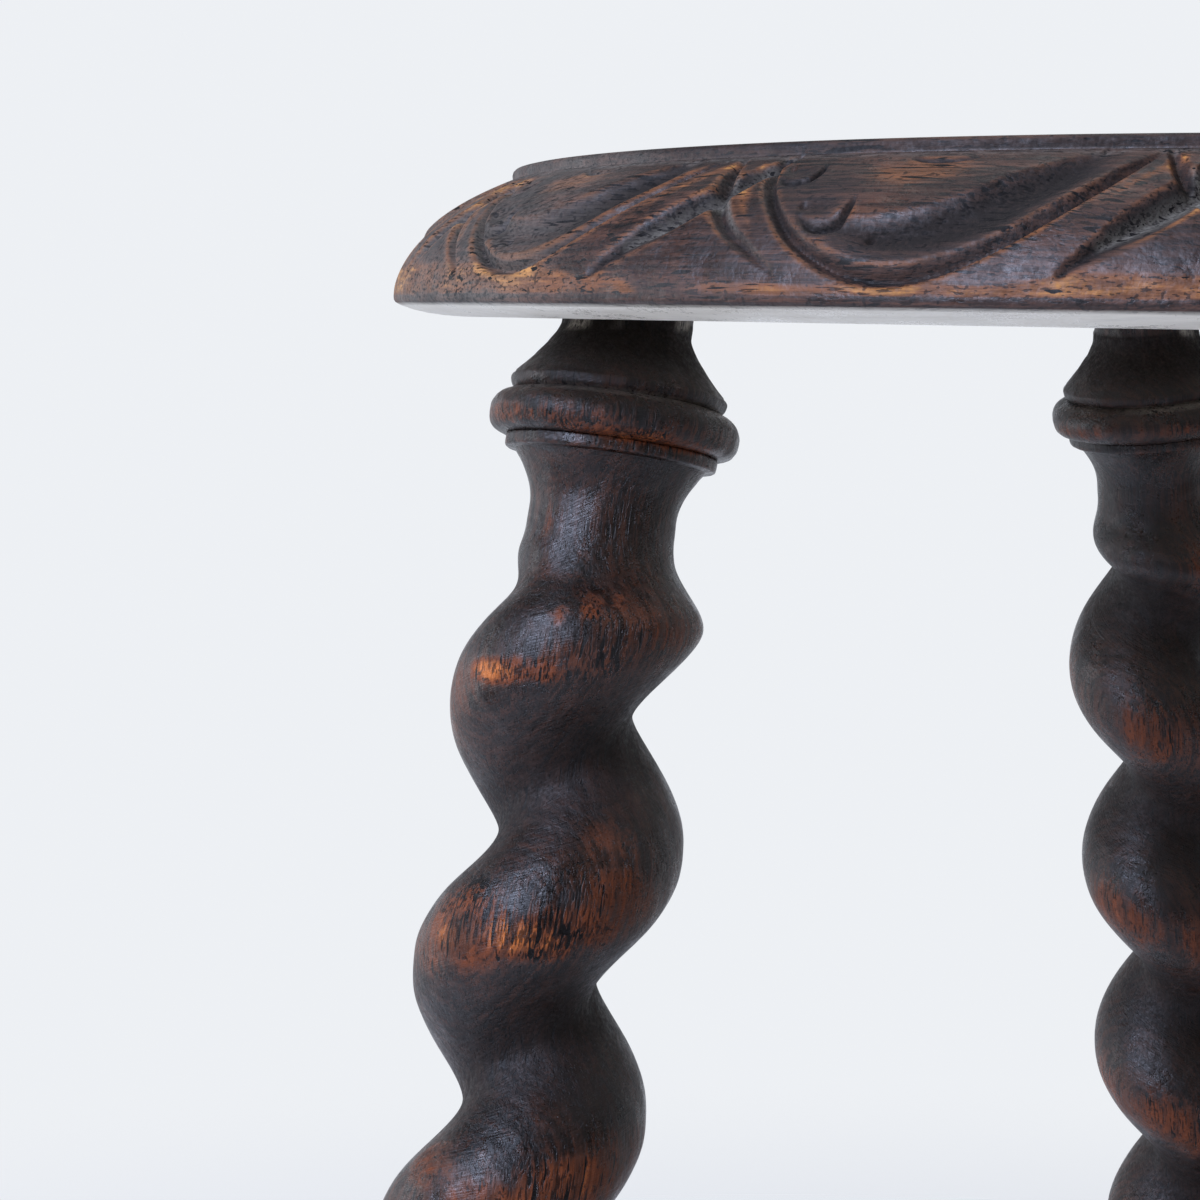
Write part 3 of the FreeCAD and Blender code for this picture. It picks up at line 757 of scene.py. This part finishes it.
    # Relief of the fibres and pores, then the rasp's lines, then small and broad dents
    height = oak.sum("SUBTRACT", oak.sum("MULTIPLY", fibres, 0.4), open_grain)
    height = oak.sum("ADD", height, oak.sum("MULTIPLY", streaks, 0.15))
    normal = oak.bump(oak.sum("MULTIPLY", height, covered), grain_depth, 0.00018)
    if strand:
        rasp = oak.noise(oak.place((0, 0, 0), (1500, 1500, 260), strand), 1.0, 3, 0.6, 0.5)
        normal = oak.bump(rasp, 0.6, 0.00018, normal)
    normal = oak.bump(oak.sum("MULTIPLY", speck, covered), 0.4, 0.00022, normal)
    normal = oak.bump(oak.sum("MULTIPLY", dents, covered), 0.6, 0.0009, normal)
    oak.put(oak.skin.inputs["Normal"], normal)
    # Worn wood, and grime with its painted shade, hold no wax, so they shine less
    waxed_gloss = 0.42
    if marks[0]:
        unwaxed = oak.sum("MAXIMUM", wear, oak.sum("MULTIPLY", grime_and_shade_share, 0.8))
        oak.put(oak.skin.inputs["Specular IOR Level"], oak.ramp(unwaxed, 0.2, 1.0, waxed_gloss, 0.18))
    else:
        oak.put(oak.skin.inputs["Specular IOR Level"], waxed_gloss)
    return oak


# The fifth tone is grime and painted shade, the sixth dust and painted light
seat_tones = [
    (0.034, 0.0170, 0.0130, 1), (0.078, 0.034, 0.022, 1), (0.190, 0.077, 0.034, 1),
    (0.500, 0.225, 0.058, 1), (0.014, 0.011, 0.010, 1), (0.160, 0.150, 0.130, 1),
    (0.79, 0.745, 0.65, 1)]
seat_oak = stained_oak(
    "stained_oak_board", along=0, radial=2, tones=seat_tones,
    marks=["worn", "grime_and_shade", "dust_and_light", "bare", None],
    turn=(0, 0, math.radians(grain_turn)), polish=-0.06)
seat.data.materials.append(seat_oak.material)
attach(seat, "root")
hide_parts("seat_board")

# Legs
# Four oak legs, each turned to a neck, a bead between fillets and a waist, then cut by rasp to a rope
# twist. Neighbouring legs twist opposite ways. Below the twist come the block for the rails and the
# foot. At the top is the tenon, glued into the seat.
leg_length = seat_under / math.cos(splay)
rail_height = 84.0
block_centre = (seat_under - rail_height) / math.cos(splay)
block_length = 40.0
block_half = 19.0
collar_top = 12.2
collar_height = 12.8
# The quirk, the bead's middle and the lower fillet, measured down from the collar's top
quirk_drop = 2.8
bead_drop = 7.6
fillet_drop = 12.2
twist_top = collar_top + collar_height
block_top = block_centre - block_length / 2
block_bottom = block_centre + block_length / 2
twist_bottom = block_top - collar_height
twist_pitch = 46.4
crest_turn = math.radians(207.4)
mean_radius = 20
leg_steps = 96
twist_row = 0.6


def bent(points, steps):
    """A round stretch of a turned outline, from four guide points of depth and radius."""
    corners = [(radius, 0, -depth) for depth, radius in points]
    return [Vector(p) for p in geometry.interpolate_bezier(*corners, steps)]


def collar(top, way):
    """Fillet, bead and fillet; way is 1 below the seat, and -1 upside down above the block."""
    def stretch(points, steps):
        return bent([(top + way * depth, radius) for depth, radius in points], steps)

    runs = [
        stretch([(-0.15, 18.4), (0.1, 18.8), (0.2, 18.85), (0.5, 18.9)], 4),
        stretch([(0.8, 18.9), (1.4, 18.8), (1.9, 18.7), (2.3, 18.3)], 4),
        stretch([(2.5, 18.0), (3.3, 21.2), (5.2, 22.1), (7.0, 21.9)], 10),
        stretch([(7.3, 21.85), (9.0, 21.6), (10.1, 20.8), (10.3, 18.9)], 9),
        stretch([(10.35, 18.2), (10.4, 18.45), (10.5, 18.5), (10.8, 18.5)], 4),
        stretch([(11.2, 18.5), (12.0, 18.5), (12.5, 18.5), (12.6, 18.1)], 5),
        stretch([(12.63, 17.8), (12.65, 17.4), (12.7, 17.2), (12.8, 17.0)], 3),
    ]
    rows = [p for run in runs for p in run]
    return rows if way > 0 else rows[::-1]


def core_radius(depth):
    """Mean radius of the twisted stretch: cove, waist and swell at both ends."""
    reach = np.minimum(depth - twist_top, twist_bottom - depth)
    cove = np.clip(1 - reach / 9.5, 0, 1) ** 2
    return 12.8 + 3.9 * cove + 3.85 * eased((reach - 12.5) / 15.5)


def strand_share(depth):
    """How fully the rope stands out: not at all at either end of the twist."""
    reach = np.minimum(depth - twist_top, twist_bottom - depth)
    return eased((reach - 16.0) / 14.0)


def turned_piece(name, profile, steps):
    """Spin an outline of points round the upright axis, as on a lathe, and return the new object."""
    bpy.ops.object.select_all(action="DESELECT")
    mesh = bpy.data.meshes.new(name)
    mesh.from_pydata([tuple(p * mm) for p in profile], [(i, i + 1) for i in range(len(profile) - 1)], [])
    piece = bpy.data.objects.new(name, mesh)
    scene.collection.objects.link(piece)
    bpy.context.view_layer.objects.active = piece
    piece.select_set(True)
    bpy.ops.object.mode_set(mode="EDIT")
    bpy.ops.mesh.select_all(action="SELECT")
    bpy.ops.mesh.spin(steps=steps, angle=math.tau, center=(0, 0, 0), axis=(0, 0, 1))
    bpy.ops.mesh.select_all(action="SELECT")
    bpy.ops.mesh.remove_doubles(threshold=weld_reach)
    bpy.ops.object.mode_set(mode="OBJECT")
    return piece


head = seat_top / math.cos(splay) - seat_under / math.cos(splay)
rows = [
    Vector((tenon_radius, 0, head + 4)),
    Vector((tenon_radius, 0, 6.0)),
    Vector((tenon_radius, 0, 2.6)),
    Vector((11.2, 0, 2.5))]
rows += bent([(-1.5, 11.2), (0.5, 11.2), (1.2, 11.3), (2.4, 11.4)], 6)
rows += bent([(2.8, 11.5), (5.2, 12.4), (8.5, 15.2), (11.6, 18.2)], 14)
rows += collar(collar_top, 1)
twist_rows = round((twist_bottom - twist_top) / twist_row)
for number in range(twist_rows + 1):
    depth = twist_top + (twist_bottom - twist_top) * number / twist_rows
    rows.append(Vector((float(core_radius(depth)), 0, -depth)))
rows += collar(block_top, -1)
shoulder_run = 4.5
# Rows down the block, closest together where its corners are rounded off
for depth in (0.0, 0.6, 1.4, 2.4, 3.4, 4.5, 6.0, 12.0, 20.0, 28.0, 34.0, 35.5, 36.6, 37.6, 38.6, 39.4,
              block_length):
    rows.append(Vector((block_half, 0, -(block_top + depth))))
floor_end = leg_length + 4.0
rows += bent([(block_bottom + 0.1, 15.0), (block_bottom + 0.4, 12.8), (block_bottom + 2.5, 12.4),
              (block_bottom + 4.8, 12.6)], 7)
rows += bent([(block_bottom + 5.0, 13.6), (block_bottom + 5.6, 17.3), (block_bottom + 10.2, 17.5),
              (block_bottom + 10.8, 13.8)], 12)
bun_top = block_bottom + 11.0
rows += bent([(bun_top, 12.8), (bun_top + 8.0, 16.0), (bun_top + 14.0, 21.5), (bun_top + 30.0, 18.5)], 18)
rows += bent([(bun_top + 32.0, 18.0), (leg_length - 12.0, 15.6), (leg_length - 6.0, 13.6),
              (floor_end, 12.6)], 12)
lathe_leg = turned_piece("leg_from_the_lathe", rows, leg_steps)

# Where the pores stand wide open: degrees round the leg, depth, half width, half height
open_spots = [
    (-126, 61, 9.0, 5.0), (-104, 63.5, 7.0, 2.6), (-112, 103, 12.0, 6.5), (-134, 106, 7.0, 4.0),
    (-98, 21, 12.0, 3.0), (-136, 19.5, 12.0, 3.0), (-150, 150, 10.0, 6.0), (-118, 140, 8.0, 6.0),
    (-118, 42, 3.5, 7.0)]
# Where hands and knees have rubbed the stain off: degrees round the leg, depth below the seat, half
# width, half height, and how far it is worn
rubbed_spots = [
    (-88, 64, 7.0, 2.8, 1.12), (-108, 63, 7.0, 3.0, 0.85), (-130, 60, 10.0, 4.5, 0.6),
    (-152, 58, 8.0, 5.0, 0.4), (-117, 53.5, 2.0, 2.6, 0.75), (-131, 51.5, 2.4, 2.8, 0.9),
    (-145, 50, 2.0, 2.4, 0.65), (-162, 54, 6.0, 5.0, 0.45), (-56, 68, 6.0, 4.5, 0.6),
    (-86, 37, 3.0, 4.5, 0.6), (-140, 22.0, 11.0, 1.7, 0.95), (-112, 21.4, 8.0, 1.5, 0.75),
    (-72, 20.0, 8.0, 2.3, 0.8), (-168, 22.4, 9.0, 1.6, 0.8), (-84, 109, 5.0, 3.6, 1.15),
    (-92, 107, 12.0, 9.0, 0.85), (-118, 107, 13.0, 5.0, 1.05), (-146, 104, 10.0, 5.0, 0.85),
    (-162, 98, 9.0, 6.5, 0.7), (-158, 90, 8.0, 6.0, 0.5), (-68, 113, 6.0, 5.0, 0.65),
    (-162, 146, 10.0, 6.0, 0.9), (-84, 147, 9.0, 5.0, 0.7), (-125, 151, 10.0, 5.0, 0.9)]
# Where old glue has crept out round the neck, in degrees round the leg
glue_turns = (-84, -188)


def leg_body(name, seed):
    """One upright leg, its foot down: a copy of the turned one, with the strand and the block cut."""
    leg = lathe_leg.copy()
    leg.data = lathe_leg.data.copy()
    leg.name = name
    scene.collection.objects.link(leg)
    places = places_of(leg)
    depth = -places[:, 2]
    radius = np.hypot(places[:, 0], places[:, 1])
    turn = np.arctan2(places[:, 1], -places[:, 0])
    phase = turn - math.tau * depth / twist_pitch + crest_turn
    on_twist = (depth > twist_top) & (depth < twist_bottom)
    # The strand stands out round and broad, and the groove between two turns is narrow
    strand = 5.85 * np.cos(phase) - 0.77 * np.cos(2 * phase)
    share = np.where(on_twist, strand_share(depth), 0)
    radius = radius + share * strand
    on_block = (depth > block_top - 0.001) & (depth < block_bottom + 0.001)
    reach = np.minimum(depth - block_top, block_bottom - depth)
    across = block_half / np.maximum(np.abs(np.cos(turn)), np.abs(np.sin(turn)))
    round_off = block_half + (block_half * 0.42) * np.sqrt(np.clip(reach / shoulder_run, 0, 1))
    radius = np.where(on_block, np.minimum(across, round_off), radius)
    # The surface is a little uneven all over, and rougher round the neck
    bumps = 0.20 * uneven(places, seed, 16) + 0.07 * uneven(places, seed + 20, 5)
    rough_turned = eased((30 - depth) / 6)
    bumps = bumps + 0.16 * rough_turned * np.abs(uneven(places, seed + 30, 2.6))
    radius = radius + np.where(depth > 0, bumps, 0)
    places[:, 0] = -radius * np.cos(turn)
    places[:, 1] = radius * np.sin(turn)
    patchy = eased(0.5 + 0.9 * uneven(places, seed + 40, 13))
    # The near leg's wear is placed spot by spot, so less is spread along its strand
    rubbed = 0.15 if seed == 1 else 0.30
    crest = share * np.clip(0.5 + 0.5 * np.cos(phase + 0.25), 0, 1) ** 2 * (rubbed + 0.5 * patchy)
    bead = eased(1 - np.abs(depth - collar_top - bead_drop) / 3.6) * (0.32 + 0.36 * patchy)
    fillet = eased(1 - np.abs(depth - collar_top - fillet_drop) / 1.2) * 0.45
    waist = eased(1 - np.abs(depth - twist_top - 17) / 12) * 0.3 * patchy
    worn = crest + bead + fillet + waist
    # The near leg wears the spots where the photograph has them, the others a little way along the strand
    slide = (seed - 1) * 6.0
    lag = math.tau * slide / twist_pitch
    for spot_turn, spot_depth, wide, tall, strength in rubbed_spots:
        on_strand = spot_depth > twist_top
        off = (turn - math.radians(spot_turn) - lag + math.pi) % math.tau - math.pi
        drop = depth - spot_depth - (slide if on_strand else 0)
        gap = np.hypot(off * mean_radius / wide, drop / tall)
        spot = strength * eased(1.35 - gap) * (on_twist if on_strand else ~on_twist)
        worn = np.maximum(worn, spot)
    put_places(leg, places)
    put_mark(leg, "worn", np.clip(worn, 0, 1.25))
    opened = np.zeros(len(places))
    for spot_turn, spot_depth, wide, tall in open_spots:
        on_strand = spot_depth > twist_top
        off = (turn - math.radians(spot_turn) - lag + math.pi) % math.tau - math.pi
        drop = depth - spot_depth - (slide if on_strand else 0)
        gap = np.hypot(off * mean_radius / wide, drop / tall)
        opened = np.maximum(opened, eased(1.4 - gap))
    put_mark(leg, "open", opened)
    # Pale crumbs of glue and dust lie where the neck meets the board
    crumbs = 0.4 * eased(uneven(places, seed + 50, 3.5) - 0.2)
    for spot_turn in glue_turns:
        off = (turn - math.radians(spot_turn) + math.pi) % math.tau - math.pi
        crumbs = np.maximum(crumbs, 1.2 * eased(1.6 - np.abs(off) / math.radians(10)))
    below = depth * math.cos(splay) + places[:, 1] * math.sin(splay)
    crust = eased(1.2 - (below - 0.7) / 1.3) * (below > -0.5) * crumbs
    # A pale line is painted in the quirk, the narrow groove above the bead: a painted highlight where the
    # fillet's lower lip catches the light
    quirk_highlight = 0.5 * eased(1.3 - np.abs(depth - collar_top - quirk_drop) / 0.7)
    quirk_highlight = quirk_highlight * eased(0.6 + 0.7 * uneven(places, seed + 60, 9))
    put_mark(leg, "dust_and_light", np.clip(crust + quirk_highlight, 0, 1))
    # Grime and painted shade lie deep in the strand's groove, and up against the board
    valley = share * np.clip(0.5 - 0.5 * np.cos(phase), 0, 1) ** 2
    put_mark(leg, "grime_and_shade", valley * 0.8 + eased(1.6 - (depth - 1) / 9) * (depth > 0) * 0.9)
    rope = leg.data.attributes.new("along_strand", "FLOAT_VECTOR", "POINT")
    # Places that turn with the strand, so that the rasp's lines run along it
    path = np.stack([mean_radius * np.cos(phase), mean_radius * np.sin(phase), depth], axis=1)
    rope.data.foreach_set("vector", (path * mm).ravel())
    return leg


def stand(leg, side, end):
    """Lean the leg, set it in its socket, and mirror it for its corner of the stool."""
    places = places_of(leg)
    mark = leg.data.attributes.new("along_leg", "FLOAT_VECTOR", "POINT")
    mark.data.foreach_set("vector", (places * mm).ravel())
    y = places[:, 1] * math.cos(splay) + places[:, 2] * math.sin(splay)
    z = -places[:, 1] * math.sin(splay) + places[:, 2] * math.cos(splay)
    # The foot is sawn level with the floor, and the tenon just under the top, along the leg's own line
    level = np.clip(z + seat_under, 0, seat_top - 0.3)
    y = y + (level - z - seat_under) * math.tan(splay)
    places[:, 0] = (places[:, 0] - socket) * -side
    places[:, 1] = (y - socket) * -end
    places[:, 2] = level
    put_places(leg, places)
    bpy.ops.object.select_all(action="DESELECT")
    bpy.context.view_layer.objects.active = leg
    leg.select_set(True)
    bpy.ops.object.mode_set(mode="EDIT")
    bpy.ops.mesh.select_all(action="DESELECT")
    bpy.ops.mesh.select_non_manifold()
    bpy.ops.mesh.edge_face_add()
    bpy.ops.mesh.select_all(action="SELECT")
    bpy.ops.mesh.normals_make_consistent(inside=False)
    bpy.ops.object.mode_set(mode="OBJECT")
    bpy.ops.object.shade_smooth_by_angle(angle=math.radians(38))


# The fifth tone is grime and painted shade, the sixth pale dust and the painted highlight in the quirk
leg_tones = [
    (0.0125, 0.0056, 0.0041, 1), (0.047, 0.0170, 0.0098, 1), (0.150, 0.042, 0.017, 1),
    (0.500, 0.150, 0.034, 1), (0.009, 0.0050, 0.0036, 1), (0.340, 0.310, 0.270, 1),
    (0.30, 0.28, 0.26, 1)]
leg_oak = stained_oak(
    "stained_oak_leg", along=2, radial=1, tones=leg_tones,
    marks=["worn", "grime_and_shade", "dust_and_light", None, "open"], source="along_leg",
    ring_scale=900, grain_depth=0.6, polish=0.10, strand="along_strand")
for number, (side, end) in enumerate(((-1, -1), (-1, 1), (1, -1), (1, 1))):
    corner = ("front" if end < 0 else "back") + "_" + ("left" if side < 0 else "right")
    leg = leg_body("leg_" + corner + "_turned", number + 1)
    stand(leg, side, end)
    leg.data.materials.append(leg_oak.material)
    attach(leg, "root")
    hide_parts("leg_" + corner)

bpy.data.objects.remove(lathe_leg)

# Rails
# Four plain turned oak rails join the leg blocks near the floor, glued into them by their own tenons.
# Two run from side to side and two from front to back, with the grain along each. Their shape is that
# of the solids.
unmarked = [None] * 5
rail_oaks = [
    stained_oak("stained_oak_rail_" + name, along, 2, leg_tones, unmarked, ring_scale=900)
    for name, along in (("across", 0), ("lengthwise", 1))]
for name, oak in (("rail_front", rail_oaks[0]), ("rail_back", rail_oaks[0]),
                  ("rail_left", rail_oaks[1]), ("rail_right", rail_oaks[1])):
    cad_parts[name].material_slots[0].material = oak.material

# Wedges and pegs
# Small pieces of split oak, driven in and trimmed off. A wedge spreads each leg's tenon in the seat,
# and a peg goes through each rail joint. Their shape is that of the solids.
end_oak = stained_oak("stained_end_grain", 2, 0, leg_tones, unmarked, ring_scale=900)
for name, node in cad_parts.items():
    if name.startswith(("wedge_", "peg_")):
        node.material_slots[0].material = end_oak.material
